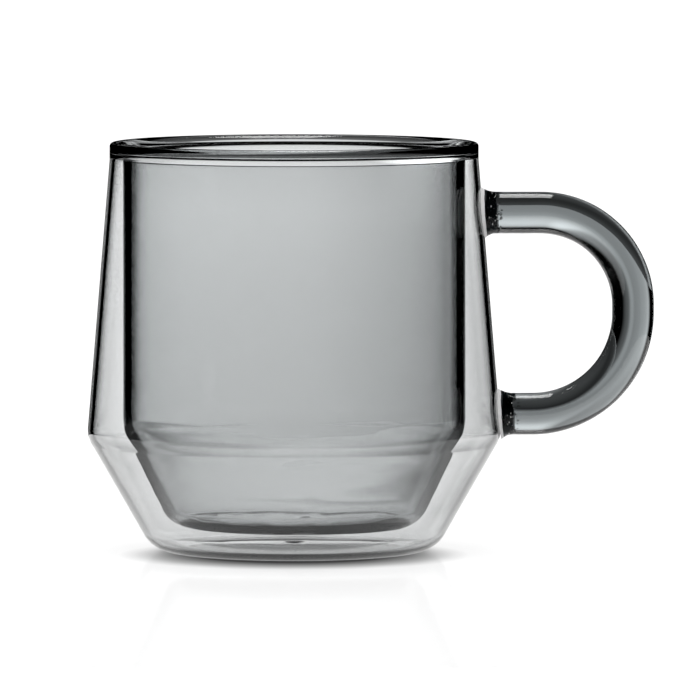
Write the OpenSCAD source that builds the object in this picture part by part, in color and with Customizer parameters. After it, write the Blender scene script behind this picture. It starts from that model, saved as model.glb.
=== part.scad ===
// Double walled glass cup: a blown outer wall and a blown liner, fused together at a solid rim,
// with a bent glass rod for a handle. The table is at height 0 and the cup's axis is the Z axis.

/* [Outer wall] */
// Height of the cup from the table to the top of the rim
cup_height = 96; // [86:1:110]
// Outside diameter at the rim
rim_dia = 86.5; // [80:0.5:92]
// Outside diameter at the waist, measured at the sharp corner before rounding
waist_dia = 97.2; // [93:0.1:106]
// Height of the waist above the table
waist_height = 27; // [24:0.5:32]
// Outside diameter of the base, measured at the sharp corner before rounding
base_dia = 66.2; // [60:0.2:72]
// Thickness of the outer wall
outer_thickness = 1.2; // [1:0.1:1.8]
// Thickness of the outer wall's base
base_thickness = 2; // [1.4:0.1:2.6]
// Radius of the rounding at the waist
waist_round = 4; // [3:0.5:6]
// Radius of the rounding at the edge of the base
base_round = 8; // [5:0.5:10]
// Diameter of the hollow pushed up into the base
punt_dia = 48; // [40:1:50]
// Depth of that hollow
punt_depth = 0.8; // [0.4:0.1:1.2]

/* [Liner] */
// Air gap between the walls just below the rim
rim_gap = 1.9; // [1.2:0.1:3]
// Air gap between the walls at the waist, measured level
waist_gap = 7.1; // [5:0.1:9]
// Height of the liner's waist above the outer wall's waist
waist_rise = 2; // [0:0.5:4]
// Air gap between the liner's lowest point and the inside of the base
base_gap = 2.4; // [1.5:0.1:4]
// Lean of the liner's lower cone from upright, in degrees
liner_lean = 26.2; // [22:0.2:29]
// Thickness of the liner's wall
liner_thickness = 2; // [1.4:0.1:2.6]
// Thickness of the liner's floor
liner_floor = 2; // [1.4:0.1:2.8]
// Depth by which the liner's floor sags at its middle
liner_sag = 0.8; // [0.3:0.1:1.2]
// Radius of the rounding at the liner's waist
liner_waist_round = 12; // [6:1:16]
// Radius of the rounding at the edge of the liner's floor
liner_base_round = 7; // [5:0.5:9]

/* [Rim] */
// Height of the solid glass where the two walls are fused
rim_height = 4; // [3:0.1:6]
// Rounding of the rim's top edge on the outside
rim_outer_round = 0.9; // [0.6:0.1:1.4]
// Rounding of the rim's top edge on the inside
rim_inner_round = 2.6; // [1.6:0.1:2.8]
// Height of the arch that closes the air gap under the rim
gap_arch = 2; // [1:0.1:2.2]

/* [Handle] */
// Diameter of the handle's glass rod
rod_dia = 9.8; // [8:0.1:12]
// Distance from the top of the rim down to the centre of the upper arm
upper_drop = 16.5; // [14:0.5:20]
// Height of the lower arm's centre above the waist
lower_rise = 5.2; // [3:0.1:9]
// Distance from the waist out to the handle's furthest point
handle_depth = 35.8; // [32:0.1:42]
// Shortest straight stretch between the two bends
grip_straight = 2; // [1:0.5:6]
// Shortest straight stretch of an arm, between its foot and its bend
arm_straight = 4; // [2:0.2:4.4]
// Amount by which the lower bend's radius is larger than the upper bend's
bend_difference = 2; // [0:0.5:4]

/* [Welds] */
// Amount by which each foot spreads beyond the rod at the wall, all round
foot_flare = 1.15; // [0.6:0.05:1.8]
// Length of each foot, from the wall to the end of the rod
foot_length = 3.2; // [2:0.1:4]
// Diameter of the vent hole in the base
vent_dia = 5; // [3:0.2:8]
// Amount by which the vent's seal bulges on each side
seal_bulge = 0.4; // [0.2:0.05:0.7]

/* [Hidden] */
$fn = 96;

smoke = [0.42, 0.46, 0.46, 0.55];
smoke_liner = [0.34, 0.40, 0.40, 0.7];
smoke_rod = [0.30, 0.36, 0.36, 0.85];

// Steps along each rounded corner, each curved floor and each foot's flare
corner_steps = 10;
floor_steps = 10;
flare_steps = 8;

rim_r = rim_dia / 2;
waist_r = waist_dia / 2;
base_r = base_dia / 2;
rod_r = rod_dia / 2;
rim_start = cup_height - rim_height;

// Plane geometry on [radius, height] points

function unit(v) = v / norm(v);

// A vector turned anticlockwise
function spun(v, angle) = [v.x * cos(angle) - v.y * sin(angle), v.x * sin(angle) + v.y * cos(angle)];

// Where the line from p along d meets the line from q along e
function meeting(p, d, q, e) = p + d * cross(q - p, e) / cross(d, e);

// A point of the line from a to b moved to its left by a wall thickness
function inset(a, b, wall) = a + spun(unit(b - a), 90) * wall;

// The arc that rounds the corner at p, on the way from a to b
function corner(a, p, b, r) =
    let (
        u = unit(a - p),
        v = unit(b - p),
        half = acos(u * v) / 2,
        centre = p + unit(u + v) * r / sin(half),
        start = p + u * r / tan(half) - centre,
        turn = sign(cross(p - a, b - p)) * (180 - 2 * half)
    )
    [for (k = [0:corner_steps]) centre + spun(start, turn * k / corner_steps)];

// A shallow curve from the axis out to a radius, raised at its middle
function domed_floor(r, rise, height) =
    [for (k = [0:floor_steps]) [r * k / floor_steps, height + rise * (1 - pow(k / floor_steps, 2))]];

function reversed(path) = [for (k = [len(path) - 1:-1:0]) path[k]];

// Corners of the outer wall's outside and inside, from the axis to the rim

level = [1, 0];
out_base = [base_r, 0];
out_waist = [waist_r, waist_height];
out_top = [rim_r, rim_start];

lower_inset = inset(out_base, out_waist, outer_thickness);
upper_inset = inset(out_waist, out_top, outer_thickness);
in_base = meeting(lower_inset, out_waist - out_base, [0, base_thickness], level);
in_waist = meeting(lower_inset, out_waist - out_base, upper_inset, out_top - out_waist);
in_top = meeting(upper_inset, out_top - out_waist, [0, rim_start], level);

outer_skin = concat(
    domed_floor(punt_dia / 2, punt_depth, 0),
    corner([0, 0], out_base, out_waist, base_round),
    corner(out_base, out_waist, out_top, waist_round),
    [out_top]
);
outer_cavity = concat(
    domed_floor(punt_dia / 2, punt_depth, base_thickness),
    corner([0, base_thickness], in_base, in_waist, base_round - outer_thickness),
    corner(in_base, in_waist, in_top, waist_round - outer_thickness),
    [in_top]
);

// Corners of the liner, which is placed by its air gaps

liner_low = punt_depth + base_thickness + base_gap;
liner_edge = liner_low + liner_sag;
liner_waist = [in_waist.x - waist_gap, waist_height + waist_rise];
liner_top = [in_top.x - rim_gap, rim_start];
liner_slope = [sin(liner_lean), cos(liner_lean)];
liner_base = meeting(liner_waist, liner_slope, [0, liner_edge], level);

bore_lower = inset(liner_base, liner_waist, liner_thickness);
bore_upper = inset(liner_waist, liner_top, liner_thickness);
bore_base = meeting(bore_lower, liner_slope, [0, liner_edge + liner_floor], level);
bore_waist = meeting(bore_lower, liner_slope, bore_upper, liner_top - liner_waist);
bore_top = meeting(bore_upper, liner_top - liner_waist, [0, rim_start], level);

liner_skin_arc = corner([0, liner_edge], liner_base, liner_waist, liner_base_round);
bore_arc = corner([0, liner_edge + liner_floor], bore_base, bore_waist, liner_base_round - liner_thickness);
floor_r = min(liner_skin_arc[0].x, bore_arc[0].x);

liner_skin = concat(
    domed_floor(floor_r, -liner_sag, liner_edge),
    liner_skin_arc,
    corner(liner_base, liner_waist, liner_top, liner_waist_round),
    [liner_top]
);
liner_bore = concat(
    domed_floor(floor_r, -liner_sag, liner_edge + liner_floor),
    bore_arc,
    corner(bore_base, bore_waist, bore_top, liner_waist_round - liner_thickness),
    [bore_top]
);

// Places of the handle, along the radius it lies on

upper_z = cup_height - upper_drop;
lower_z = waist_height + lower_rise;
reach = waist_r + handle_depth - rod_r;
loop_height = upper_z - lower_z;

// Outside radius of the wall at a height above the waist
function wall_r(z) = meeting(out_waist, out_top - out_waist, [0, z], level).x;

upper_arm_x = wall_r(upper_z) + foot_length;
lower_arm_x = wall_r(lower_z) + foot_length;

// The bends are as large as the loop's height and its depth both leave room for
bend_in_height = (loop_height - grip_straight - bend_difference) / 2;
bend_in_depth = reach - lower_arm_x - arm_straight - bend_difference;
upper_bend = min(bend_in_height, bend_in_depth);
lower_bend = upper_bend + bend_difference;
grip_length = loop_height - upper_bend - lower_bend;

// The space that the closed outer wall and the rim fill, which cuts the feet to fit the wall
module envelope() {
    rotate_extrude()
        polygon(concat(outer_skin, [[rim_r, cup_height], [0, cup_height]]));
}

// Blown outer vessel, with the vent hole through its base
module outer_wall_shell() {
    color(smoke)
        difference() {
            rotate_extrude()
                polygon(concat(outer_skin, reversed(outer_cavity)));
            translate([0, 0, -base_thickness])
                cylinder(h = punt_depth + 3 * base_thickness, d = vent_dia);
        }
}

// Blown inner vessel that holds the drink
module liner() {
    color(smoke_liner)
        rotate_extrude()
            polygon(concat(liner_skin, reversed(liner_bore)));
}

// Solid ring where the two walls are fused, arched over the air gap
module rim() {
    gap_middle = (liner_top.x + in_top.x) / 2;
    gap_half = (in_top.x - liner_top.x) / 2;
    arch = [
        for (k = [0:corner_steps])
            let (a = 180 * k / corner_steps)
            [gap_middle - gap_half * cos(a), rim_start + gap_arch * sin(a)]
    ];
    mouth_edge = [bore_top.x, cup_height];
    outer_edge = [rim_r, cup_height];
    color(smoke_rod)
        rotate_extrude()
            polygon(concat(
                [bore_top],
                arch,
                [out_top],
                corner(out_top, outer_edge, mouth_edge, rim_outer_round),
                corner(outer_edge, mouth_edge, bore_top, rim_inner_round)
            ));
}

// Quarter turn of the rod in the handle's plane, from the given angle above level
module bend(radius, from) {
    rotate([90, 0, 0])
        rotate([0, 0, from])
            rotate_extrude(angle = 90)
                translate([radius, 0])
                    circle(r = rod_r);
}

// Straight stretch of the rod, level, from the start of a bend back towards the cup
module arm(bend_x, foot_x, z) {
    translate([bend_x, 0, z])
        rotate([0, -90, 0])
            cylinder(h = bend_x - foot_x, r = rod_r);
}

// Solid rod bent to a D, with its ends cut square at the feet
module handle_rod() {
    color(smoke_rod)
        union() {
            arm(reach - upper_bend, upper_arm_x, upper_z);
            translate([reach - upper_bend, 0, upper_z - upper_bend])
                bend(upper_bend, 0);
            translate([reach, 0, lower_z + lower_bend])
                cylinder(h = grip_length, r = rod_r);
            translate([reach - lower_bend, 0, lower_z + lower_bend])
                bend(lower_bend, -90);
            arm(reach - lower_bend, lower_arm_x, lower_z);
        }
}

// Foot of melted glass between the wall and the end of an arm, spread where it meets the wall
module weld(arm_x, z) {
    foot_r = rod_r + foot_flare;
    flare = [
        for (k = [0:flare_steps])
            let (t = k / flare_steps)
            [rod_r + foot_flare * pow(t, 3), foot_length * t]
    ];
    color(smoke_rod)
        difference() {
            translate([arm_x, 0, z])
                rotate([0, -90, 0])
                    rotate_extrude()
                        polygon(concat(
                            [[0, 0]],
                            flare,
                            [[foot_r, foot_length + foot_r], [0, foot_length + foot_r]]
                        ));
            envelope();
        }
}

// Bead that closes the vent hole once the air between the walls is hot and thin
module vent_bead() {
    vent_r = vent_dia / 2;
    face = punt_depth * (1 - pow(vent_dia / punt_dia, 2));
    color(smoke)
        rotate_extrude()
            polygon(concat(
                domed_floor(vent_r, -seal_bulge, face),
                reversed(domed_floor(vent_r, seal_bulge, face + base_thickness))
            ));
}

outer_wall_shell();  // outer_wall
liner();  // inner_wall
rim();  // rim_ring
handle_rod();  // handle
weld(upper_arm_x, upper_z);  // handle_upper_weld
weld(lower_arm_x, lower_z);  // handle_lower_weld
vent_bead();  // vent_seal
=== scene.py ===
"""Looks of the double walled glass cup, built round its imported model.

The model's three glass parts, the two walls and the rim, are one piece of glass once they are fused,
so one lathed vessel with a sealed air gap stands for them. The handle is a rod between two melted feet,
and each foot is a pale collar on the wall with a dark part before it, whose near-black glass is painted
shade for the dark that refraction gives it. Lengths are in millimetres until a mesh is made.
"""

import logging
import math
import random
from dataclasses import dataclass
from enum import Enum
from typing import Callable

import bpy
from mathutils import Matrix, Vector, noise

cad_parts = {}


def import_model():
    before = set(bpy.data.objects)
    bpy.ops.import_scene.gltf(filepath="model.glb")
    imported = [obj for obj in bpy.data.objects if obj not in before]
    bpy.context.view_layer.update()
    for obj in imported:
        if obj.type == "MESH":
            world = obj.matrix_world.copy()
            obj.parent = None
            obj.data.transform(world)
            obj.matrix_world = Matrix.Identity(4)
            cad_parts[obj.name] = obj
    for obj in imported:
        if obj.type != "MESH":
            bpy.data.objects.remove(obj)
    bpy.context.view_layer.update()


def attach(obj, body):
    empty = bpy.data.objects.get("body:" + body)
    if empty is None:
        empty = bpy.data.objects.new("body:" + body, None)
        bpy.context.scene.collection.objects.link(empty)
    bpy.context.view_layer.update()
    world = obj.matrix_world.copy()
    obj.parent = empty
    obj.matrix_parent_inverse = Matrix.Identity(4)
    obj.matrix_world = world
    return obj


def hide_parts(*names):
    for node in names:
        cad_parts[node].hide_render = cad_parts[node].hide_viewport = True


LOG = logging.getLogger("glass_cup")
MM = 0.001
WHITE = (1, 1, 1, 1)
LEVEL = (1.0, 0.0)
QUARTER = math.pi / 2
BUBBLE_ROWS = 5
BUBBLE_COLUMNS = 8
LIGHT_BOUNCES = 32
GLOSSY_BOUNCES = 2
CLEAR_BOUNCES = 16
# A ray's depth is over this once it has met a face of that kind.
ANY = 0.5

Point = tuple[float, float]
Place = tuple[float, float, float]
Curve = tuple[Point, ...]
Shift = Callable[[float, float, float], float]
Piece = bpy.types.Object
Socket = bpy.types.NodeSocket
Feed = Socket | float | tuple[float, ...]


def between(a: Point, b: Point) -> Point:
    """Returns the vector from a to b."""
    return b[0] - a[0], b[1] - a[1]


def unit(v: Point) -> Point:
    """Returns the vector v at length 1."""
    size = math.hypot(*v)
    return v[0] / size, v[1] / size


def inset(a: Point, b: Point, wall: float) -> Point:
    """Returns a point of the line from a to b, moved to its left by a wall thickness."""
    u = unit(between(a, b))
    return a[0] - u[1] * wall, a[1] + u[0] * wall


def meeting(p: Point, d: Point, q: Point, e: Point) -> Point:
    """Returns where the line through p along d meets the line through q along e."""
    t = ((q[0] - p[0]) * e[1] - (q[1] - p[1]) * e[0]) / (d[0] * e[1] - d[1] * e[0])
    return p[0] + d[0] * t, p[1] + d[1] * t


def corner(a: Point, p: Point, b: Point, r: float, steps: int) -> list[Point]:
    """Rounds the corner at p on the way from a to b.

    Args:
        a: A point before the corner.
        p: The sharp corner.
        b: A point after the corner.
        r: The rounding's radius.
        steps: How many short sides the arc gets.

    Returns:
        The arc's points, from a's side to b's side.
    """
    u, v = unit(between(p, a)), unit(between(p, b))
    half = math.acos(u[0] * v[0] + u[1] * v[1]) / 2
    w = unit((u[0] + v[0], u[1] + v[1]))
    cx, cy = p[0] + w[0] * r / math.sin(half), p[1] + w[1] * r / math.sin(half)
    sx, sy = p[0] + u[0] * r / math.tan(half) - cx, p[1] + u[1] * r / math.tan(half) - cy
    left = (p[0] - a[0]) * (b[1] - p[1]) - (p[1] - a[1]) * (b[0] - p[0]) > 0
    turn = (math.pi - 2 * half) * (1 if left else -1)
    arc = []
    for k in range(steps + 1):
        c, s = math.cos(turn * k / steps), math.sin(turn * k / steps)
        arc.append((cx + sx * c - sy * s, cy + sx * s + sy * c))
    return arc


def domed(r: float, rise: float, height: float, steps: int) -> list[Point]:
    """Returns a shallow curve out to a radius, whose middle rises above the height of its edge."""
    return [(r * k / steps, height + rise * (1 - (k / steps) ** 2)) for k in range(steps + 1)]


def filled(path: list[Point], step: float) -> list[Point]:
    """Adds points along the long straight sides of a path, so that ripples have something to move.

    Args:
        path: The path's points.
        step: The longest side wanted.

    Returns:
        The same path with its long sides divided.
    """
    out = [path[0]]
    for a, b in zip(path, path[1:]):
        n = max(1, math.ceil(math.dist(a, b) / step))
        dx, dy = between(a, b)
        out += [(a[0] + dx * k / n, a[1] + dy * k / n) for k in range(1, n + 1)]
    return out


def circle(n: int) -> list[float]:
    """Returns the angles of n even steps round a circle."""
    return [2 * math.pi * j / n for j in range(n)]


def even(angle: float, r: float, z: float) -> float:
    """Returns no shift, for a skin that is left as it was turned."""
    return 0.0


def eased(at: float, start: float, end: float) -> float:
    """Returns 0 before a start, 1 after an end and a smooth step between them."""
    t = min(1.0, max(0.0, (at - start) / (end - start)))
    return t * t * (3 - 2 * t)


def skewed(rng: random.Random, least: float, more: float) -> float:
    """Returns a random value from a least one up to that much more, mostly near the least."""
    return least + more * rng.random() ** 2


def ramp(stops: Curve, at: float) -> float:
    """Reads a curve that is given by a few stops.

    Args:
        stops: Pairs of place and value, in rising order of place.
        at: The place to read.

    Returns:
        The value there, straight between stops and level beyond them.
    """
    if at <= stops[0][0]:
        return stops[0][1]
    for (p, v), (q, w) in zip(stops, stops[1:]):
        if at <= q:
            return v + (w - v) * (at - p) / (q - p)
    return stops[-1][1]


class MeshDraft:
    """Points and faces of a mesh while it is drawn in millimetres."""

    def __init__(self) -> None:
        """Starts an empty draft."""
        self.points: list[Place] = []
        self.faces: list[tuple[int, ...]] = []

    def add(self, x: float, y: float, z: float) -> int:
        """Returns the number of a new point."""
        self.points.append((x, y, z))
        return len(self.points) - 1

    def ring_grid(self, rings: list[list[int]], flip: bool) -> None:
        """Joins rings of equal length with four-sided faces.

        Args:
            rings: The point numbers of each ring, in order.
            flip: Whether the faces look the other way.
        """
        for low, high in zip(rings, rings[1:]):
            n = len(low)
            for j in range(n):
                quad = (low[j], low[(j + 1) % n], high[(j + 1) % n], high[j])
                self.faces.append(quad[::-1] if flip else quad)

    def fan(self, tip: int, ring: list[int], flip: bool) -> None:
        """Closes a ring with triangles round one point.

        Args:
            tip: The point number at the middle.
            ring: The ring's point numbers.
            flip: Whether the faces look the other way.
        """
        n = len(ring)
        for j in range(n):
            tri = (tip, ring[(j + 1) % n], ring[j])
            self.faces.append(tri[::-1] if flip else tri)

    def close(self, first: int, rings: list[list[int]], last: int, flip: bool) -> None:
        """Joins rings into a closed skin with a tip at each end.

        Args:
            first: The tip before the first ring.
            rings: The point numbers of each ring, in order.
            last: The tip after the last ring.
            flip: Whether the skin looks inwards.
        """
        self.fan(first, rings[0], flip)
        self.ring_grid(rings, flip)
        self.fan(last, rings[-1], not flip)

    def lathe(self, profile: list[Point], turns: int, flip: bool, shift: Shift) -> None:
        """Spins a profile that starts and ends on the axis into a closed skin.

        Args:
            profile: Radius and height of each point, in order.
            turns: How many steps there are round the axis.
            flip: Whether the skin looks inwards, as the skin of a hollow in the glass does.
            shift: Gives a point's move along the profile's normal from its angle, radius and height.
        """
        rings = []
        for before, (r, z), after in zip(profile, profile[1:], profile[2:]):
            ux, uz = unit(between(before, after))
            ring = []
            for t in circle(turns):
                d = shift(t, r, z)
                ring.append(self.add((r + uz * d) * math.cos(t), (r + uz * d) * math.sin(t), z - ux * d))
            rings.append(ring)
        first = self.add(0, 0, profile[0][1])
        last = self.add(0, 0, profile[-1][1])
        self.close(first, rings, last, flip)

    def bubble(self, middle: Vector, size: Vector, turn: float, hollow: bool = True) -> None:
        """Adds a small air bubble, a closed skin that looks inwards, or a grain of the same shape.

        Args:
            middle: The bubble's middle.
            size: Its half lengths along X, Y and Z.
            turn: Its angle about X.
            hollow: Whether it is a bubble.
        """
        c, s = math.cos(turn), math.sin(turn)

        def put(x: float, y: float, z: float) -> int:
            """Returns the number of a point of the bubble, turned about X."""
            return self.add(middle.x + x, middle.y + y * c - z * s, middle.z + y * s + z * c)

        rings = []
        for i in range(1, BUBBLE_ROWS):
            a = math.pi * i / BUBBLE_ROWS
            wide, tall, z = size.x * math.sin(a), size.y * math.sin(a), -size.z * math.cos(a)
            rings.append([put(wide * math.cos(t), tall * math.sin(t), z) for t in circle(BUBBLE_COLUMNS)])
        low, high = put(0, 0, -size.z), put(0, 0, size.z)
        self.close(low, rings, high, hollow)

    def finish(self, name: str) -> Piece:
        """Makes a smooth shaded Blender object of the draft.

        Args:
            name: The object's name.

        Returns:
            The object, in metres and linked to the scene.
        """
        mesh = bpy.data.meshes.new(name)
        mesh.from_pydata([(x * MM, y * MM, z * MM) for x, y, z in self.points], [], self.faces)
        mesh.validate()
        mesh.polygons.foreach_set("use_smooth", [True] * len(mesh.polygons))
        mesh.update()
        obj = bpy.data.objects.new(name, mesh)
        bpy.context.scene.collection.objects.link(obj)
        return obj


def empty_material(name: str) -> bpy.types.Material:
    """Makes a material that has no nodes yet.

    Args:
        name: The material's name.

    Returns:
        The material.
    """
    mat = bpy.data.materials.new(name)
    mat.use_nodes = True
    mat.node_tree.nodes.clear()
    return mat


def add_node(
    tree: bpy.types.NodeTree, kind: str, inputs: dict[str | int, Feed], **settings: str
) -> bpy.types.Node:
    """Adds a shader node.

    Args:
        tree: The material's nodes.
        kind: The node's type, after ShaderNode.
        inputs: The socket or the value that feeds each input, by the input's name or number.
        **settings: The node's own settings by name.

    Returns:
        The node.
    """
    node = tree.nodes.new("ShaderNode" + kind)
    for key, setting in settings.items():
        setattr(node, key, setting)
    for key, feed in inputs.items():
        if isinstance(feed, bpy.types.NodeSocket):
            tree.links.new(feed, node.inputs[key])
        else:
            node.inputs[key].default_value = feed
    return node


class Surface(Enum):
    """How the skin of a glass piece was shaped, and how many ripples a metre has along X, Y and Z."""

    SMOOTH = (0, 0, 0)
    DRAWN = (40, 220, 220)
    FLAMED = (900, 500, 500)


@dataclass(frozen=True)
class GlassFinish:
    """A smoke tinted glass.

    Attributes:
        slot: The record's material slot; not used.
        ripple: Height of the skin's fine ripples, in metres.
        tint: Colour that the glass keeps of white light over its depth.
        density: Absorption for each metre of glass.
        index: Refractive index.
        clear: Share of the light that is let through where it isn't mirrored.
    """

    name: str
    slot: str
    surface: Surface = Surface.SMOOTH
    ripple: float = 0.0
    tint: Place = (0.205, 0.25, 0.262)
    density: float = 130.0
    index: float = 1.47
    rough: float = 0.0
    clear: float = 1.0

    def material(self) -> bpy.types.Material:
        """Builds the material's nodes.

        Returns:
            A clear, slightly rippled glass that absorbs light by depth.
        """
        mat = empty_material(self.name)
        tree = mat.node_tree
        skin = {"Base Color": WHITE, "Roughness": self.rough, "IOR": self.index}
        skin["Transmission Weight"] = self.clear
        if self.surface is not Surface.SMOOTH:
            skin["Normal"] = self.rippled(tree)
        glass = add_node(tree, "BsdfPrincipled", skin)
        depth = add_node(tree, "VolumeAbsorption", {"Color": (*self.tint, 1), "Density": self.density})
        add_node(tree, "OutputMaterial", {"Surface": glass.outputs[0], "Volume": depth.outputs[0]})
        return mat

    def rippled(self, tree: bpy.types.NodeTree) -> Socket:
        """Bumps the skin with the ripples that its making left.

        Args:
            tree: The material's nodes.

        Returns:
            The bumped normal.
        """
        place = add_node(tree, "TexCoord", {}).outputs["Object"]
        stretch = add_node(tree, "Mapping", {"Vector": place, "Scale": self.surface.value}).outputs[0]
        wave = add_node(tree, "TexNoise", {"Vector": stretch, "Scale": 1.0, "Detail": 1.0}).outputs["Fac"]
        return add_node(tree, "Bump", {"Height": wave, "Strength": 1.0, "Distance": self.ripple}).outputs[0]


WALL_GLASS = GlassFinish("smoke_glass", "smoke_glass")
SEAL_GLASS = GlassFinish("smoke_seal_glass", "smoke_glass")
ROD_GLASS = GlassFinish(
    "smoke_rod_glass", "smoke_glass_rod", Surface.DRAWN, ripple=0.000002, density=200.0
)
COLLAR_GLASS = GlassFinish("frosted_weld_glass", "smoke_glass_rod", density=30.0, rough=0.5, clear=0.3)
# Painted shade: the dark part of each foot is very dense glass, near-black, standing in for the dark that
# refraction gives the foot.
FOOT_GLASS_PAINTED_SHADE = GlassFinish(
    "foot_glass_painted_shade", "smoke_glass_rod", Surface.FLAMED, ripple=0.0002, density=900.0, index=1.22
)


@dataclass(frozen=True)
class Grain:
    """A smooth noise round the axis.

    Attributes:
        across: How fast it changes round the axis.
        up: How fast it changes with height.
        seed: Chooses the noise.
    """

    across: float
    up: float
    seed: float = 0.0

    def at(self, angle: float, z: float, seed: float = 0.0) -> float:
        """Returns a value from about -1 to 1 at an angle and a height, for a further seed."""
        side = self.across * math.sin(angle) + self.seed + seed
        return noise.noise(Vector((self.across * math.cos(angle), side, self.up * z)))


@dataclass(frozen=True)
class Ripples:
    """The uneven skin of blown glass, strongest in the lower half where it was drawn in.

    Attributes:
        streak: Height of the long level streaks of the liner, in millimetres.
        fine_share: Height of the fine streaks against the broad ones.
        swirl: Height of the swirls on the liner's floor.
        swirl_scale: How fast they change along and across.
        twist: How far they are turned for each millimetre from the axis, in radians.
        lean: Height of the broad unevenness of the liner's lower corner.
        nub: Length of the drop left under the middle of the liner's floor.
        base: Height of the ripples of the outer base.
        broad_share: Height of the base's broad unevenness against its ripples.
        seeds: Choose the noise of the bore, of the liner's outer skin and of the broad unevenness.
        even_top: Height above which all skins are even.
        base_top: Height below which a skin belongs to the base.
        divide: Radius at table height of the cone between liner and outer wall, and its growth with height.
        waist: Radius and height beyond which a skin belongs to the outer wall.
    """

    streak: float = 0.028
    wide: Grain = Grain(1.1, 0.2)
    fine: Grain = Grain(2.6, 0.55, 5.0)
    fine_share: float = 0.55
    streak_rise: Point = (7.0, 12.0)
    streak_fade: Point = (33.0, 46.0)
    swirl: float = 0.06
    swirl_scale: Point = (0.07, 0.2)
    twist: float = 0.055
    swirl_fade: Point = (8.5, 11.0)
    lean: float = 0.3
    lean_grain: Grain = Grain(0.8, 0.02, 3.3)
    lean_rise: Point = (8.0, 20.0)
    lean_fade: Point = (10.0, 24.0)
    nub: float = 0.35
    nub_r: float = 1.1
    base: float = 0.02
    base_grain: Grain = Grain(1.6, 0.3, 2.2)
    base_rise: Point = (1.9, 2.6)
    base_fade: Point = (18.0, 26.0)
    broad_share: float = 1.6
    broad_scale: float = 0.1
    seeds: Place = (1.7, 9.1, 6.6)
    even_top: float = 60.0
    base_top: float = 4.0
    divide: Point = (28.9, 0.57)
    waist: Point = (43.5, 27.0)

    def is_outer(self, r: float, z: float) -> bool:
        """Tells whether a point lies on the base or the lower outer wall."""
        return z < self.base_top or r > self.divide[0] + self.divide[1] * z

    def liner(self, angle: float, r: float, z: float, seed: float) -> float:
        """Works out the unevenness of one of the liner's skins.

        Args:
            angle: The angle round the axis.
            r: The distance from the axis.
            z: The height.
            seed: Chooses the skin's noise.

        Returns:
            How far the skin moves.
        """
        band = eased(z, *self.streak_rise) * (1 - eased(z, *self.streak_fade))
        streaks = self.wide.at(angle, z, seed) + self.fine_share * self.fine.at(angle, z, seed)
        along = self.swirl_scale[0] * r * math.cos(angle + self.twist * r)
        across = self.swirl_scale[1] * r * math.sin(angle + self.twist * r)
        swirls = (1 - eased(z, *self.swirl_fade)) * noise.noise(Vector((along, across, seed)))
        low = (1 - eased(z, *self.lean_fade)) * eased(r, *self.lean_rise)
        leaning = low * self.lean_grain.at(angle, z)
        return self.streak * band * streaks + self.swirl * swirls + self.lean * leaning

    def bore(self, angle: float, r: float, z: float) -> float:
        """Returns the shift of the glass's outer skin, which is uneven only in the bore."""
        level = z > self.even_top or self.is_outer(r, z)
        return 0.0 if level else self.liner(angle, r, z, self.seeds[0])

    def hollow(self, angle: float, r: float, z: float) -> float:
        """Works out the shift of the air gap's skin, on the liner and on the outer wall's inside.

        Args:
            angle: The angle round the axis.
            r: The distance from the axis.
            z: The height.

        Returns:
            How far the skin moves.
        """
        if z > self.even_top:
            return 0.0
        if self.is_outer(r, z) or (r > self.waist[0] and z > self.waist[1]):
            x, y = r * math.cos(angle), r * math.sin(angle)
            broad = noise.noise(Vector((self.broad_scale * x, self.broad_scale * y, self.seeds[2])))
            fine = self.base_grain.at(angle, z) * eased(z, *self.base_rise)
            return self.base * (1 - eased(z, *self.base_fade)) * (self.broad_share * broad + fine)
        drop = self.nub * math.exp(-((r / self.nub_r) ** 2))
        return -self.liner(angle, r, z, self.seeds[1]) - drop


@dataclass(frozen=True)
class Facets:
    """How finely the vessel is drawn: the sides of each arc, the longest straight side and the turns."""

    dome: int = 18
    base: int = 20
    waist: int = 14
    inner_waist: int = 16
    rim: int = 12
    arch: int = 16
    liner_base: int = 16
    liner_waist: int = 28
    bore_waist: int = 24
    side: float = 1.1
    turns: int = 288


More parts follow.
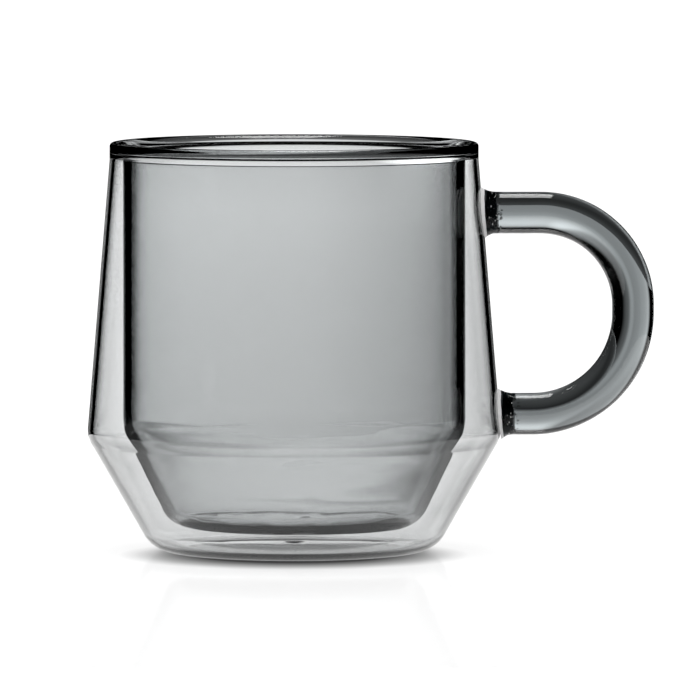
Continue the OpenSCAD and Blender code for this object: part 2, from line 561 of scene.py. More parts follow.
@dataclass(frozen=True)
class Vessel:
    """The two blown walls and the rim that joins them, as one piece of glass round a sealed gap.

    Attributes:
        punt: Its depth.
        waist_rise: How far the liner's waist lies above the outer one.
        lean: Angle of the liner's lower wall from the upright, in degrees.
        arch: How far the air gap reaches up into it.
    """

    height: float = 96.0
    rim_r: float = 43.25
    waist: Point = (48.6, 27.0)
    base_r: float = 33.1
    wall: float = 1.2
    base: float = 1.4
    waist_round: float = 7.0
    inner_waist_round: float = 5.8
    base_round: float = 8.0
    punt_r: float = 24.0
    punt: float = 0.8
    rim_gap: float = 1.9
    waist_gap: float = 7.1
    waist_rise: float = 2.0
    base_gap: float = 3.0
    lean: float = 26.2
    liner: float = 2.0
    floor: float = 2.0
    sag: float = 0.8
    liner_waist_round: float = 12.0
    liner_base_round: float = 7.0
    rim: float = 4.0
    rim_outer_round: float = 0.9
    rim_inner_round: float = 2.6
    arch: float = 2.0
    facets: Facets = Facets()
    ripples: Ripples = Ripples()

    def rim_start(self) -> float:
        """Returns the height where the solid rim starts."""
        return self.height - self.rim

    def floor_edge(self) -> float:
        """Returns the height of the edge of the liner's underside."""
        return self.punt + self.base + self.base_gap + self.sag

    def outside_r(self, z: float) -> float:
        """Returns the outer wall's radius at a height above the waist."""
        share = (z - self.waist[1]) / (self.rim_start() - self.waist[1])
        return self.waist[0] + (self.rim_r - self.waist[0]) * share

    def outer_corners(self) -> tuple[list[Point], list[Point]]:
        """Works out the sharp corners of the outer wall.

        Returns:
            Its base, waist and top on the outside, and the same three on the inside.
        """
        base, waist, top = (self.base_r, 0.0), self.waist, (self.rim_r, self.rim_start())
        lower, upper = inset(base, waist, self.wall), inset(waist, top, self.wall)
        rise, lean = between(base, waist), between(waist, top)
        inside = [
            meeting(lower, rise, (0.0, self.base), LEVEL),
            meeting(lower, rise, upper, lean),
            meeting(upper, lean, (0.0, self.rim_start()), LEVEL),
        ]
        return [base, waist, top], inside

    def liner_corners(self) -> tuple[list[Point], list[Point]]:
        """Works out the sharp corners of the liner.

        Returns:
            Its base, waist and top in the air gap, and the same three in the bore.
        """
        _, (_, near, rim) = self.outer_corners()
        edge, lean = self.floor_edge(), math.radians(self.lean)
        waist = (near[0] - self.waist_gap, self.waist[1] + self.waist_rise)
        top = (rim[0] - self.rim_gap, self.rim_start())
        slope, side = (math.sin(lean), math.cos(lean)), between(waist, top)
        base = meeting(waist, slope, (0.0, edge), LEVEL)
        lower, upper = inset(base, waist, self.liner), inset(waist, top, self.liner)
        bore = [
            meeting(lower, slope, (0.0, edge + self.floor), LEVEL),
            meeting(lower, slope, upper, side),
            meeting(upper, side, (0.0, self.rim_start()), LEVEL),
        ]
        return [base, waist, top], bore

    def gap_top(self, outer: Point, inner: Point) -> list[Point]:
        """Returns the arch of the air gap in the rim, from its outer to its inner side."""
        mid, half = (inner[0] + outer[0]) / 2, (outer[0] - inner[0]) / 2
        turns = circle(2 * self.facets.arch)[: self.facets.arch + 1]
        return [(mid + half * math.cos(a), self.rim_start() + self.arch * math.sin(a)) for a in turns]

    def profiles(self) -> tuple[list[Point], list[Point]]:
        """Works out the two closed skins of the glass.

        Returns:
            The outer skin from the base round the rim to the inner floor, and the air gap's skin.
        """
        (ob, ow, ot), (ib, iw, it) = self.outer_corners()
        (lb, lw, lt), (bb, bw, bt) = self.liner_corners()
        sides, edge, liner = self.facets, self.floor_edge(), self.liner
        skin_arc = corner((0.0, edge), lb, lw, self.liner_base_round, sides.liner_base)
        bore_arc = corner((0.0, edge + self.floor), bb, bw, self.liner_base_round - liner, sides.liner_base)
        floor_r = min(skin_arc[0][0], bore_arc[0][0])
        mouth, brim = (bt[0], self.height), (self.rim_r, self.height)
        outside = (
            domed(self.punt_r, self.punt, 0.0, sides.dome)
            + corner((0.0, 0.0), ob, ow, self.base_round, sides.base)
            + corner(ob, ow, ot, self.waist_round, sides.waist)
            + [ot]
            + corner(ot, brim, mouth, self.rim_outer_round, sides.rim)
        )
        inside = (
            corner(brim, mouth, bt, self.rim_inner_round, sides.rim)
            + [bt]
            + corner(bb, bw, bt, self.liner_waist_round - liner, sides.bore_waist)[::-1]
            + bore_arc[::-1]
            + domed(floor_r, -self.sag, edge + self.floor, sides.dome)[::-1]
        )
        gap = (
            domed(self.punt_r, self.punt, self.base, sides.dome)
            + corner((0.0, self.base), ib, iw, self.base_round - self.wall, sides.base)
            + corner(ib, iw, it, self.inner_waist_round, sides.inner_waist)
            + self.gap_top(it, lt)
            + corner(lb, lw, lt, self.liner_waist_round, sides.liner_waist)[::-1]
            + skin_arc[::-1]
            + domed(floor_r, -self.sag, edge, sides.dome)[::-1]
        )
        return filled(outside, sides.side) + filled(inside, sides.side), filled(gap, sides.side)

    def build(self) -> list[Piece]:
        """Builds the vessel's mesh and dresses it.

        Returns:
            The vessel.
        """
        skin, gap = self.profiles()
        draft = MeshDraft()
        draft.lathe(skin, self.facets.turns, False, self.ripples.bore)
        draft.lathe(gap, self.facets.turns, True, self.ripples.hollow)
        obj = draft.finish("glass_vessel")
        obj.data.materials.append(WALL_GLASS.material())
        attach(obj, "root")
        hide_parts("outer_wall", "inner_wall", "rim_ring")
        return [obj]


@dataclass(frozen=True)
class Seam:
    """The uneven line where a melted foot meets the rod, with fine bubbles and grains beside it.

    Attributes:
        depth: How far the line wanders along the rod, in millimetres.
        teeth: How fast it wanders round the rod.
        stretch: A bubble's length against its width.
        jitter: How far a bubble strays round the rod, as a share of the distance to the next.
        cover: The least glass between a bubble and the rod's skin or the line.
        grain_start: The foot's first ring that bears grains.
        grain_bias: Draws the grains towards the seam, more so the lower it is.
    """

    seed: int
    depth: float = 0.3
    teeth: float = 3.0
    fine_share: float = 0.6
    fine_scale: float = 3.1
    pace: float = 1.7
    bubbles: int = 44
    bubble_r: Point = (0.09, 0.16)
    stretch: float = 1.3
    jitter: float = 0.8
    cover: float = 0.12
    deeper: float = 1.3
    farther: float = 1.1
    grains: int = 34
    grain_seed: int = 5
    grain_r: Point = (0.05, 0.09)
    grain_stretch: float = 2.5
    grain_start: int = 3
    grain_bias: float = 0.6

    def wander(self, angle: float) -> float:
        """Returns how far the line stands out along the rod at an angle round it."""
        place = Vector((self.teeth * math.cos(angle), self.teeth * math.sin(angle), self.pace * self.seed))
        return self.depth * (noise.noise(place) + self.fine_share * noise.noise(place * self.fine_scale))

    def froth(self, draft: MeshDraft, x: float, z: float, rod_r: float) -> None:
        """Adds the bubbles, just under the skin on the rod's side of the line.

        Args:
            draft: The draft of the rod.
            x: The line's middle place.
            z: The height of the arm.
            rod_r: The rod's radius.
        """
        rng = random.Random(self.seed)
        for k in range(self.bubbles):
            angle = 2 * math.pi * (k + rng.random() * self.jitter) / self.bubbles
            size = skewed(rng, *self.bubble_r)
            r = rod_r - size - skewed(rng, self.cover, self.deeper)
            along = x + self.wander(angle) + size + skewed(rng, self.cover, self.farther)
            middle = Vector((along, r * math.cos(angle), z + r * math.sin(angle)))
            draft.bubble(middle, Vector((size * self.stretch, size, size)), angle)

    def speckle(self, draft: MeshDraft, rings: list[list[Place]], z: float) -> None:
        """Adds pale grains in the skin of the foot, drawn in the collar's frosted glass, as its bright
        specks.

        Args:
            draft: The draft that gets the grains.
            rings: The rings of the foot's dark part, from the wall outwards.
            z: The height of the arm.
        """
        rng = random.Random(self.seed + self.grain_seed)
        for _ in range(self.grains):
            share = rng.random() ** self.grain_bias
            ring = rings[int(self.grain_start + (len(rings) - self.grain_start) * share)]
            middle = Vector(ring[rng.randrange(len(ring))])
            size = skewed(rng, *self.grain_r)
            long = size * skewed(rng, 1.0, self.grain_stretch)
            turn = math.atan2(middle.z - z, middle.y) + QUARTER
            draft.bubble(middle, Vector((size, long, size)), turn, False)


@dataclass(frozen=True)
class Handle:
    """The bent rod of the handle, from seam to seam.

    Attributes:
        reach: Distance of the grip's middle line from the axis.
        clear_end: How far the rod's even part stays from its seams.
        uneven: Height of the drawn rod's slight swell, in millimetres.
    """

    vessel: Vessel
    rod_r: float = 4.9
    upper_z: float = 79.5
    lower_z: float = 32.2
    reach: float = 79.5
    upper_bend: float = 21.65
    lower_bend: float = 23.65
    foot_flare: float = 1.15
    foot_length: float = 3.2
    clear_end: float = 0.9
    uneven: float = 0.035
    uneven_pace: float = 0.09
    sides: int = 72
    arm_steps: tuple[int, int] = (20, 8)
    bend_steps: int = 48
    seams: tuple[Seam, Seam] = (Seam(11), Seam(23))

    def seam_x(self, z: float) -> float:
        """Returns the place of the seam of the arm at a height."""
        return self.vessel.outside_r(z) + self.foot_length

    def bend(self, r: float, z: float, start: float) -> list[tuple[float, ...]]:
        """Returns the stations of a quarter turn round a centre at height z, from a start angle."""
        x, n = self.reach - r, self.bend_steps
        turns = [start + QUARTER * k / n for k in range(n + 1)]
        return [(x + r * math.sin(a), z + r * math.cos(a), math.cos(a), -math.sin(a)) for a in turns]

    def spine(self) -> list[tuple[float, ...]]:
        """Lays out the rod's middle line from the upper seam to the lower seam.

        Returns:
            For each station: X, Z, and the X and Z of the direction in which the rod runs.
        """
        n, m = self.arm_steps
        start, bend_x = self.seam_x(self.upper_z) + self.clear_end, self.reach - self.upper_bend
        stations = [(start + (bend_x - start) * k / n, self.upper_z, 1.0, 0.0) for k in range(n + 1)]
        stations += self.bend(self.upper_bend, self.upper_z - self.upper_bend, 0.0)[1:]
        stations += self.bend(self.lower_bend, self.lower_z + self.lower_bend, QUARTER)
        end, bend_x = self.seam_x(self.lower_z) + self.clear_end, self.reach - self.lower_bend
        stations += [(bend_x + (end - bend_x) * k / m, self.lower_z, -1.0, 0.0) for k in range(1, m + 1)]
        return stations

    def swell(self, k: int, angle: float) -> float:
        """Returns the slight unevenness of the drawn rod at a station and an angle."""
        return self.uneven * noise.noise(Vector((k * self.uneven_pace, math.cos(angle), math.sin(angle))))

    def seam_ring(self, seam: Seam, z: float) -> list[Place]:
        """Returns the ring of the rod's uneven end at a seam, for an arm's height."""
        x, r = self.seam_x(z), self.rod_r
        return [(x + seam.wander(a), r * math.cos(a), z + r * math.sin(a)) for a in circle(self.sides)]

    def build(self) -> list[Piece]:
        """Builds the rod with the small bubbles at its two seams.

        Returns:
            The rod.
        """
        draft = MeshDraft()
        rings = [[draft.add(*p) for p in self.seam_ring(self.seams[0], self.upper_z)]]
        for k, (x, z, dx, dz) in enumerate(self.spine()):
            ring = []
            for a in circle(self.sides):
                r = self.rod_r + self.swell(k, a)
                side, out = r * math.cos(a), r * math.sin(a)
                ring.append(draft.add(x - dz * out, side, z + dx * out))
            rings.append(ring)
        last = self.seam_ring(self.seams[1], self.lower_z)
        rings.append([draft.add(*last[-j % self.sides]) for j in range(self.sides)])
        up = draft.add(self.seam_x(self.upper_z), 0, self.upper_z)
        low = draft.add(self.seam_x(self.lower_z), 0, self.lower_z)
        draft.close(up, rings, low, False)
        for seam, z in zip(self.seams, (self.upper_z, self.lower_z)):
            seam.froth(draft, self.seam_x(z), z, self.rod_r)
        obj = draft.finish("handle_rod")
        obj.data.materials.append(ROD_GLASS.material())
        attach(obj, "root")
        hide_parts("handle")
        return [obj]


@dataclass(frozen=True)
class Foot:
    """One melted foot of the handle, spread where it meets the wall, whose dark part is near-black glass:
    painted shade for the dark that refraction gives it.

    Attributes:
        bite: How deep it sinks into the wall, in millimetres.
        collar: How far the pale weld at the wall reaches out before the dark part.
        flare_power: How sharply the flare widens towards the wall.
        rough: Height of its skin's unevenness.
        cap_shares: Sizes of the rings that close each part at the wall's side.
    """

    handle: Handle
    seam: Seam
    z: float
    node: str
    bite: float = 0.02
    collar: float = 0.7
    steps: int = 12
    flare_power: float = 2.2
    rough: float = 0.07
    rough_along: float = 2.2
    rough_round: float = 3.0
    cap_shares: Place = (0.25, 0.5, 0.75)

    def on_wall(self, y: float, z: float) -> float:
        """Returns the X of the wall's skin, less the depth that the foot sinks into it."""
        return math.sqrt(self.handle.vessel.outside_r(z) ** 2 - y * y) - self.bite

    def radius(self, away: float, angle: float) -> float:
        """Works out the foot's uneven radius.

        Args:
            away: The distance from the wall.
            angle: The angle round the foot.

        Returns:
            The radius.
        """
        handle, share = self.handle, away / self.handle.foot_length
        across, up = self.rough_round * math.cos(angle), self.rough_round * math.sin(angle)
        bump = noise.noise(Vector((self.rough_along * away, across, up + self.seam.seed)))
        flare = handle.foot_flare * (1 - share) ** self.flare_power
        return handle.rod_r + flare + self.rough * bump * math.sin(math.pi * min(1.0, share))

    def rings(self, start: float, end: float) -> list[list[Place]]:
        """Draws rings of the flare between two distances from the wall.

        Args:
            start: The first ring's distance, in millimetres.
            end: The last ring's distance.

        Returns:
            Rings of points from the wall outwards.
        """
        rings = []
        for k in range(self.steps + 1):
            away = start + (end - start) * k / self.steps
            ring = []
            for a in circle(self.handle.sides):
                r = self.radius(away, a)
                y, z = r * math.cos(a), self.z + r * math.sin(a)
                wall, tip = self.on_wall(y, z), self.handle.seam_x(self.z) + self.seam.wander(a)
                ring.append((wall + (tip - wall) * away / self.handle.foot_length, y, z))
            rings.append(ring)
        return rings

    def piece(self, name: str, start: float, end: float, finish: GlassFinish) -> Piece:
        """Builds the part of the foot between two distances from the wall.

        Args:
            name: The piece's name.
            start: Where it begins.
            end: Where it ends.
            finish: Its glass.

        Returns:
            The piece.
        """
        draft = MeshDraft()
        rings, at_wall = self.rings(start, end), start == 0.0
        cap = []
        for share in self.cap_shares:
            flat = [(x, y * share, self.z + (z - self.z) * share) for x, y, z in rings[0]]
            cap.append([(self.on_wall(y, z), y, z) for _, y, z in flat] if at_wall else flat)
        numbers = [[draft.add(*p) for p in ring] for ring in cap + rings]
        near, far = (sum(x for x, _, _ in ring) / len(ring) for ring in (rings[0], rings[-1]))
        first = draft.add(self.on_wall(0, self.z) if at_wall else near, 0, self.z)
        last = draft.add(far, 0, self.z)
        draft.close(first, numbers, last, False)
        if at_wall:
            self.seam.speckle(draft, self.rings(self.collar, self.handle.foot_length), self.z)
        obj = draft.finish(name)
        obj.data.materials.append(finish.material())
        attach(obj, "root")
        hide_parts(self.node)
        return obj

    def build(self) -> list[Piece]:
        """Returns the pale weld at the wall and the foot's dark part on it, whose near-black glass is
        painted shade.
        """
        weld = self.piece(self.node + "_collar", 0.0, self.collar, COLLAR_GLASS)
        return [weld, self.piece(self.node + "_foot", self.collar, self.handle.foot_length, FOOT_GLASS_PAINTED_SHADE)]


@dataclass(frozen=True)
class VentSeal:
    """The bead of glass that closes the vent hole, which bulges on both sides of the base.

    Attributes:
        waist_share: Radius of the bead inside the base, as a share of its radius.
    """

    vessel: Vessel
    radius: float = 2.5
    bulge: float = 0.4
    bite: float = 0.02
    waist_share: float = 0.98
    steps: int = 10
    turns: int = 48

    def build(self) -> list[Piece]:
        """Builds the two bulges of the bead.

        Returns:
            The seal.
        """
        draft = MeshDraft()
        punt = self.vessel.punt * (1 - (self.radius / self.vessel.punt_r) ** 2)
        top = punt + self.vessel.base
        waist = self.radius * self.waist_share
        upper = domed(self.radius, self.bulge, top, self.steps)
        lower = domed(self.radius, -self.bulge, punt, self.steps)
        high, low = top - self.bite, punt + self.bite
        draft.lathe([(0.0, high), (waist, high), *upper[::-1]], self.turns, False, even)
        draft.lathe([*lower, (waist, low), (0.0, low)], self.turns, False, even)
        obj = draft.finish("vent_seal_bead")
        obj.data.materials.append(SEAL_GLASS.material())
        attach(obj, "root")
        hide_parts("vent_seal")
        return [obj]


class StageNodes:
    """The nodes of a studio material that gives light."""

    def __init__(self, name: str) -> None:
        """Starts an empty material.

        Args:
            name: The material's name.
        """
        self.mat = empty_material(name)
        self.tree = self.mat.node_tree
        self.path = add_node(self.tree, "LightPath", {})

    def attribute(self, name: str) -> Socket:
        """Returns the value of a mesh attribute."""
        return add_node(self.tree, "Attribute", {}, attribute_name=name).outputs["Fac"]

    def math(self, operation: str, a: Feed, b: Feed = 0.0) -> Socket:
        """Returns what a Math node makes of one or two sockets or numbers."""
        return add_node(self.tree, "Math", {0: a, 1: b}, operation=operation).outputs[0]

    def times(self, a: Feed, b: Feed) -> Socket:
        """Returns a product."""
        return self.math("MULTIPLY", a, b)

    def less(self, a: Feed, b: Feed) -> Socket:
        """Returns a difference."""
        return self.math("SUBTRACT", a, b)

    def kept(self, value: Socket, top: float = 1.0) -> Socket:
        """Returns a value kept between 0 and a top."""
        return self.math("MINIMUM", self.math("MAXIMUM", value, 0.0), top)

    def over(self, output: str, limit: float = ANY) -> Socket:
        """Returns 1 for rays whose Light Path output is over a limit, and 0 for others."""
        return self.math("GREATER_THAN", self.path.outputs[output], limit)

    def facing(self) -> Socket:
        """Returns how flat a ray meets the face: 0 straight on, 1 along it."""
        return add_node(self.tree, "LayerWeight", {}).outputs["Facing"]

    def spread(self, stops: Curve, ahead: float = 0.0) -> Socket:
        """Adds a value that changes with the distance from a point of the floor.

        Args:
            stops: Pairs of a distance, below 100 mm, and a value from 0 to 1.
            ahead: How far the point lies before the cup's axis, in millimetres.

        Returns:
            The value's socket.
        """
        reach = 100.0
        scale, middle = (1 / (reach * MM), 1 / (reach * MM), 0), (0, ahead / reach, 0)
        place = add_node(self.tree, "TexCoord", {}).outputs["Object"]
        away = {0: place, 1: scale, 2: middle}
        shift = add_node(self.tree, "VectorMath", away, operation="MULTIPLY_ADD").outputs["Vector"]
        size = add_node(self.tree, "VectorMath", {0: shift}, operation="LENGTH").outputs["Value"]
        shades = add_node(self.tree, "ValToRGB", {"Fac": size})
        marks = shades.color_ramp.elements
        while len(marks) < len(stops):
            marks.new(0.5)
        for mark, (at, value) in zip(marks, stops):
            mark.position = at / reach
            mark.color = (value, value, value, 1)
        return shades.outputs["Color"]

    def light(self, strength: Feed) -> Socket:
        """Returns the shader of a light."""
        return add_node(self.tree, "Emission", {"Strength": strength}).outputs[0]

    def mix(self, share: Feed, first: Socket, second: Socket) -> Socket:
        """Returns a mix of two shaders with a share of the second one."""
        return add_node(self.tree, "MixShader", {0: share, 1: first, 2: second}).outputs[0]

    def end(self, shader: Socket) -> None:
        """Ends the material with a shader."""
        add_node(self.tree, "OutputMaterial", {"Surface": shader})


def unseen_piece(
    draft: MeshDraft, name: str, nodes: StageNodes, values: dict[str, list[float]], mirrored: bool = True
) -> Piece:
    """Makes a studio piece that the camera, the shadows and the floor's paint don't see.

    Args:
        draft: The piece's draft.
        name: Its name.
        nodes: Its material.
        values: The values at its points that the material reads.
        mirrored: Whether mirrored rays see it.

    Returns:
        The piece.
    """
    obj = draft.finish(name)
    for key, numbers in values.items():
        obj.data.attributes.new(key, "FLOAT", "POINT").data.foreach_set("value", numbers)
    obj.data.materials.append(nodes.mat)
    obj.visible_camera = False
    obj.visible_diffuse = False
    obj.visible_glossy = mirrored
    obj.visible_shadow = False
    return obj


@dataclass(frozen=True)
class Surround:
    """The round screen that the glass mirrors and bends: black, with a lit window towards each side.

    Attributes:
        back_half: Half the back's angle, in degrees.
        back_across: Light of the back window against X.
        high_across: Share of the higher light at its right, against X.
        rod_across: Further light at the right that only the plain rod gathers, against X.
        rod_passes: A ray through the plain rod has passed fewer faces than this.
        wall_across: Further light at the right that only the outer wall gathers, against X.
        wall_passes: Faces that a ray through that wall has passed, and how far that may be off.
        sides: Angle of each other window.
        side_across: Light of the other windows against the angle from their middle, in degrees.
        slope_start: How far from straight on a ray through the liner may fall before the screen darkens.
        slope_most: How dark it can get.
        slope_passes: Such a ray has passed more faces than this.
        foot_up: Light of the screen's foot away from the back, for views from above, against height.
        foot_start: How far from straight on a ray has to fall to see the foot's light.
    """

    radius: float = 290.0
    row: float = 5.0
    fine_top: float = 300.0
    tall_rows: Place = (400.0, 500.0, 620.0)
    back_half: float = 40.0
    back_across: Curve = (
        (-130, 0.0), (-118, 0.6), (-105, 1.15), (-94, 1.6), (-80, 1.7), (-62, 1.52), (-39, 1.4),
        (-9, 1.3), (6, 1.27), (29, 1.13), (52, 1.06), (74, 1.0), (84, 0.93), (92, 0.84), (99, 0.76),
        (106, 0.62), (113, 0.3), (120, 0.05), (126, 0.0),
    )
    back_up: Curve = (
        (0, 0.86), (20, 0.91), (38, 0.96), (51, 1.01), (65, 1.08), (80, 1.0), (100, 0.82), (130, 0.72),
        (205, 0.7), (225, 0.4), (242, 0.0),
    )
    high_across: Curve = ((30, 0.0), (52, 1.0), (100, 1.0), (125, 0.0))
    high_up: Curve = (
        (60, 0.0), (80, 0.25), (93, 0.6), (122, 1.4), (148, 1.7), (168, 1.7), (190, 1.45), (205, 1.1),
        (225, 0.6), (242, 0.0),
    )
    rod_across: Curve = (
        (74, 0.0), (87, 0.37), (95, 0.5), (105, 0.56), (118, 0.5), (143, 0.32), (170, 0.0),
    )
    rod_passes: float = 2.5
    wall_across: Curve = (
        (-60, 0.0), (-45, 0.1), (40, 0.1), (60, 0.25), (80, 0.32), (97, 0.45), (115, 0.4), (130, 0.2),
        (142, 0.0),
    )
    wall_passes: Point = (5.0, 1.5)
    sides: Place = (-90.0, 90.0, 180.0)
    side_across: Curve = ((0, 1.0), (12, 1.0), (16, 0.8), (20, 0.3), (26, 0.0))
    side_up: Curve = ((0, 1.0), (80, 1.0), (100, 0.5), (125, 0.0))
    slope_start: float = 0.014
    slope_pace: float = 70.0
    slope_most: float = 0.85
    slope_passes: float = 4.5
    foot_up: Curve = ((0, 1.2), (16, 1.2), (30, 0.0))
    foot_start: float = 0.025
    foot_pace: float = 120.0
    foot_passes: float = 2.5

    def lights(self, angle: float, z: float) -> dict[str, float]:
        """Works out each light of a point of the screen.

        Args:
            angle: Its angle from +Y towards +X, in degrees.
            z: Its height.

        Returns:
            The lights by name.
        """
        x = self.radius * math.sin(math.radians(angle))
        behind = 1.0 if abs(angle) <= self.back_half else 0.0
        low, high = ramp(self.back_up, z), ramp(self.high_up, z)
        off = min(abs((angle - middle + 180) % 360 - 180) for middle in self.sides)
        return {
            "back": behind * ramp(self.back_across, x) * (low + ramp(self.high_across, x) * high),
            "sides": ramp(self.side_across, off) * ramp(self.side_up, z),
            "rod": behind * ramp(self.rod_across, x) * (low + high),
            "wall": behind * ramp(self.wall_across, x) * (low + high),
            "foot": (1 - behind) * ramp(self.foot_up, z),
        }

    def pattern(self, nodes: StageNodes) -> Socket:
        """Adds up the lights that a ray sees, by the way it came through the glass.

        Args:
            nodes: The screen's material.

        Returns:
            The light's socket.
        """
        passed = nodes.path.outputs["Transmission Depth"]
        mirrored = nodes.math("MINIMUM", nodes.path.outputs["Glossy Depth"], 1.0)
        straight = nodes.less(1.0, mirrored)
        near, spread = self.wall_passes
        rod = nodes.math("LESS_THAN", passed, self.rod_passes)
        wall = nodes.math("LESS_THAN", nodes.math("ABSOLUTE", nodes.less(passed, near)), spread)
        light = nodes.attribute("back")
        for name, share in (("sides", 1.0), ("rod", rod), ("wall", wall)):
            seen = nodes.times(straight, share)
            light = nodes.math("ADD", light, nodes.times(seen, nodes.attribute(name)))
        facing = nodes.facing()
        slope = nodes.times(nodes.less(facing, self.slope_start), self.slope_pace)
        late = nodes.over("Transmission Depth", self.slope_passes)
        slope = nodes.times(nodes.kept(slope, self.slope_most), late)
        light = nodes.times(light, nodes.less(1.0, slope))
        falling = nodes.kept(nodes.times(nodes.less(facing, self.foot_start), self.foot_pace))
        falling = nodes.times(falling, nodes.over("Transmission Depth", self.foot_passes))
        falling = nodes.times(falling, straight)
        light = nodes.math("MAXIMUM", light, nodes.times(falling, nodes.attribute("foot")))
        outside = nodes.times(nodes.math("LESS_THAN", passed, ANY), mirrored)
        return nodes.times(light, nodes.less(1.0, outside))

    def build(self) -> Piece:
        """Builds the screen with its roof.

        Returns:
            The screen.
        """
        draft = MeshDraft()
        values: dict[str, list[float]] = {}
        fine = [self.row * k for k in range(int(self.fine_top / self.row) + 1)]
        rings = []
        for z in (*fine, *self.tall_rows):
            ring = []
            for angle in range(-180, 180):
                a = math.radians(angle)
                ring.append(draft.add(self.radius * math.sin(a), self.radius * math.cos(a), z))
                for name, light in self.lights(angle, z).items():
                    values.setdefault(name, []).append(light)
            rings.append(ring)
        draft.ring_grid(rings, False)
        draft.fan(draft.add(0, 0, self.tall_rows[-1]), rings[-1], False)
        for numbers in values.values():
            numbers.append(0.0)
        nodes = StageNodes("graded_screen")
        singular = nodes.path.outputs["Is Singular Ray"]
        clean = nodes.math("MAXIMUM", nodes.less(singular, nodes.over("Diffuse Depth")), 0.0)
        darker = nodes.times(nodes.less(self.pattern(nodes), 1.0), clean)
        nodes.end(nodes.light(nodes.math("ADD", darker, 1.0)))
        return unseen_piece(draft, "studio_surround", nodes, values)


@dataclass(frozen=True)
class PaintedFloorShade:
    """A dark sheet just over the floor, right of and behind the cup, that only bent rays see: painted shade
    for the floor's shade as the glass bends it, dark when looked down on, clear at a low angle.

    Attributes:
        reach: How far it goes from the cup's axis, in millimetres.
        step: Size of its squares.
        edge: Where it starts: the least sum of X and Y, and over how many millimetres it fades in.
        across: Its light against Y, or against a share of X where that is larger.
        x_share: That share of X.
        height: Its height over the floor.
        clear_from: How flat a ray has to meet it to pass it by.
        clear_pace: How fast it covers the floor below that.
    """

    reach: float = 284.0
    step: float = 4.0
    edge: Point = (72.0, 45.0)
    across: Curve = ((50, 0.22), (90, 0.16), (140, 0.08), (180, 0.11), (220, 0.17), (285, 0.28))
    x_share: float = 0.8
    height: float = 0.5
    clear_from: float = 0.9
    clear_pace: float = 9.0

    def build(self) -> Piece:
        """Lays the sheet of painted floor shade.

        Returns:
            The sheet.
        """
        draft = MeshDraft()
        cover, light, rows = [], [], []
        n = int(self.reach // self.step)
        for i in range(n + 1):
            row = []
            for j in range(-n, n + 1):
                x, y = j * self.step, i * self.step
                row.append(draft.add(x, y, self.height))
                within = math.hypot(x, y) < self.reach
                cover.append(eased(x + y, self.edge[0], sum(self.edge)) if within else 0.0)
                light.append(ramp(self.across, max(y, x * self.x_share)))
            rows.append(row)
        for low, high in zip(rows, rows[1:]):
            for j in range(len(low) - 1):
                draft.faces.append((low[j], low[j + 1], high[j + 1], high[j]))
        nodes = StageNodes("painted_floor_shade")
        # Painted shade: steep rays bent by the glass see this dark sheet in place of the pale floor.
        steep = nodes.kept(nodes.times(nodes.less(self.clear_from, nodes.facing()), self.clear_pace))
        share = nodes.times(steep, nodes.attribute("cover"))
        clear = add_node(nodes.tree, "BsdfTransparent", {}).outputs[0]
        nodes.end(nodes.mix(share, clear, nodes.light(nodes.attribute("light"))))
        return unseen_piece(draft, "painted_floor_shade", nodes, {"cover": cover, "light": light}, False)


@dataclass(frozen=True)
class Card:
    """A flat card of the studio that only the glass's outside mirrors.

    Attributes:
        corners: Its corners in order, in millimetres.
    """

    name: str
    corners: tuple[Place, ...]
    light: float

    def build(self) -> Piece:
        """Puts up the card.

        Returns:
            The card.
        """
        draft = MeshDraft()
        draft.faces.append(tuple(draft.add(*p) for p in self.corners))
        nodes = StageNodes(self.name)
        outside = nodes.math("LESS_THAN", nodes.path.outputs["Transmission Depth"], ANY)
        nodes.end(nodes.light(nodes.times(outside, self.light)))
        return unseen_piece(draft, self.name, nodes, {})


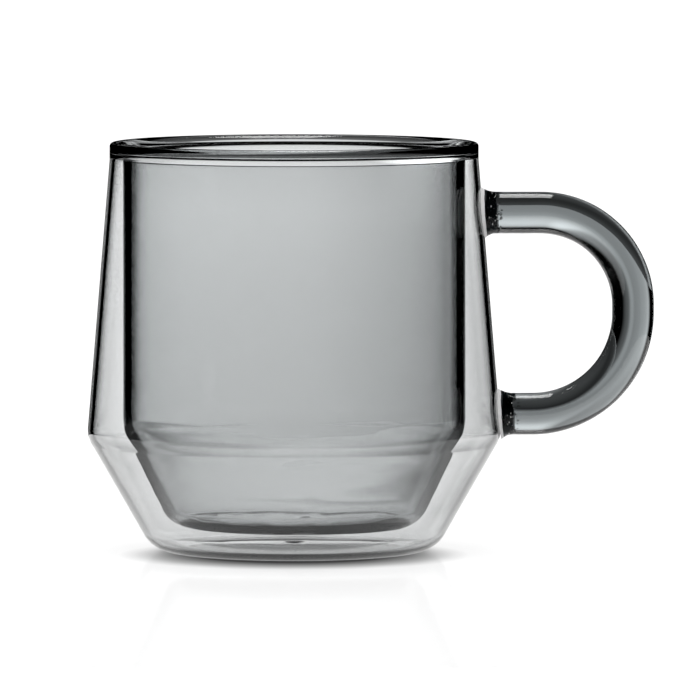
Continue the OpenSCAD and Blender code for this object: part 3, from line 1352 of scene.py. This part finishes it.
@dataclass(frozen=True)
class Floor:
    """A pale floor with a faint gloss, which keeps the cup's real shadow and adds a painted contact shadow
    and painted shade near the cup.

    Attributes:
        glow_seen: Its glow towards the camera.
        glow_bent: Its glow towards glossy and bent rays.
        painted_contact_shadow: How dark the painted contact shadow makes it towards the camera, against the
            distance from the shadow's middle.
        painted_shadow_ahead: How far that middle lies before the cup's axis.
        under: How dark the painted shade under the base makes it through the glass, against the distance
            from the axis.
        mirrored: Its painted light and shade after a reflection inside the glass, a glow against that
            distance, dark under the base and bright round its edge.
    """

    half: float = 6000.0
    paint: float = 0.6
    glow_seen: float = 0.72
    glow_bent: float = 0.68
    gloss: float = 0.28
    gloss_rough: float = 0.07
    painted_contact_shadow: Curve = ((0, 0.92), (22, 0.92), (28, 0.68), (33, 0.42), (37.5, 0.14), (41, 0.0))
    painted_shadow_ahead: float = 12.0
    under: Curve = ((0, 0.1), (23, 0.15), (25.5, 0.0))
    mirrored: Curve = (
        (0, 0.03), (25, 0.03), (31, 0.04), (33, 0.75), (39, 0.75), (42, 0.5), (54, 0.38), (68, 0.22),
        (86, 0.1), (94, 0.05),
    )

    def plain(self, nodes: StageNodes) -> Socket:
        """Adds the paint, its glow and the gloss over them.

        Args:
            nodes: The floor's material.

        Returns:
            The shader.
        """
        tree, rays = nodes.tree, nodes.path.outputs
        paint = add_node(tree, "BsdfDiffuse", {"Color": (self.paint, self.paint, self.paint, 1)}).outputs[0]
        bent = nodes.math("MAXIMUM", rays["Is Glossy Ray"], rays["Is Transmission Ray"])
        seen = nodes.times(rays["Is Camera Ray"], self.glow_seen)
        glow = nodes.light(nodes.math("ADD", seen, nodes.times(bent, self.glow_bent)))
        lit = add_node(tree, "AddShader", {0: paint, 1: glow}).outputs[0]
        gloss = add_node(tree, "BsdfGlossy", {"Roughness": self.gloss_rough}).outputs[0]
        return nodes.mix(self.gloss, lit, gloss)

    def build(self) -> Piece:
        """Lays the floor.

        Returns:
            The floor.
        """
        draft, s = MeshDraft(), self.half
        draft.faces.append(tuple(draft.add(x, y, 0) for x, y in ((-s, -s), (s, -s), (s, s), (-s, s))))
        obj = draft.finish("studio_floor")
        nodes = StageNodes("pale_floor")
        rays, mirrored = nodes.path.outputs, nodes.over("Glossy Depth")
        inner = nodes.times(mirrored, nodes.over("Transmission Depth"))
        # Rays reflected inside the glass see a painted glow in place of the floor's own look, painted light
        # and shade by distance from the axis.
        look = nodes.mix(inner, self.plain(nodes), nodes.light(nodes.spread(self.mirrored)))
        # Painted shade: rays straight through the glass see the floor mixed towards black under the base.
        direct = nodes.times(rays["Is Transmission Ray"], nodes.less(1.0, mirrored))
        under = nodes.times(direct, nodes.spread(self.under))
        # Painted shadow: camera rays see the floor mixed towards black round the base, shifted towards the
        # camera.
        painted_contact_shadow = nodes.times(rays["Is Camera Ray"], nodes.spread(self.painted_contact_shadow, self.painted_shadow_ahead))
        nodes.end(nodes.mix(nodes.math("ADD", under, painted_contact_shadow), look, nodes.light(0.0)))
        obj.data.materials.append(nodes.mat)
        return obj


@dataclass(frozen=True)
class Studio:
    """Camera, surrounding light, floor, screen, sheet of painted floor shade and card.

    Attributes:
        pitch: How far it looks down, in degrees.
        clip: Its nearest and farthest sight, in metres.
    """

    camera_place: Place = (0.0131, -2.45, 0.2095)
    pitch: float = 3.79
    lens: float = 538.0
    sensor: float = 36.0
    clip: Point = (0.05, 60.0)
    pieces: tuple[Floor | Surround | PaintedFloorShade | Card, ...] = (
        Floor(),
        Surround(),
        PaintedFloorShade(),
        Card("top_light", ((-50, 20, 580), (115, 20, 580), (115, 330, 440), (-50, 330, 440)), 6.5),
    )

    def camera(self) -> None:
        """Makes the camera at the photograph's angle."""
        data = bpy.data.cameras.new("camera")
        data.lens = self.lens
        data.sensor_width = self.sensor
        data.clip_start, data.clip_end = self.clip
        cam = bpy.data.objects.new("camera", data)
        cam.location = self.camera_place
        cam.rotation_euler = (QUARTER - math.radians(self.pitch), 0, 0)
        bpy.context.scene.collection.objects.link(cam)
        bpy.context.scene.camera = cam

    def world(self) -> None:
        """Makes an even white surrounding light."""
        world = bpy.data.worlds.new("studio")
        world.use_nodes = True
        world.node_tree.nodes["Background"].inputs["Color"].default_value = WHITE
        world.node_tree.nodes["Background"].inputs["Strength"].default_value = 1.0
        bpy.context.scene.world = world

    def build(self) -> list[Piece]:
        """Sets up the whole studio.

        Returns:
            The studio's pieces.
        """
        self.camera()
        self.world()
        return [piece.build() for piece in self.pieces]


def main() -> None:
    """Loads the model, sets up the studio, dresses the model and reports each piece."""
    logging.basicConfig(level=logging.INFO, format="%(name)s: %(message)s")
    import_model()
    vessel = Vessel()
    handle = Handle(vessel)
    upper = Foot(handle, handle.seams[0], handle.upper_z, "handle_upper_weld")
    lower = Foot(handle, handle.seams[1], handle.lower_z, "handle_lower_weld")
    for assembly in (Studio(), vessel, handle, upper, lower, VentSeal(vessel)):
        for piece in assembly.build():
            LOG.info("%s: %d points", piece.name, len(piece.data.vertices))
    scene = bpy.context.scene
    scene.view_settings.view_transform = "Standard"
    scene.cycles.max_bounces = LIGHT_BOUNCES
    scene.cycles.transmission_bounces = LIGHT_BOUNCES
    scene.cycles.glossy_bounces = GLOSSY_BOUNCES
    scene.cycles.transparent_max_bounces = CLEAR_BOUNCES


if __name__ == "__main__":
    main()
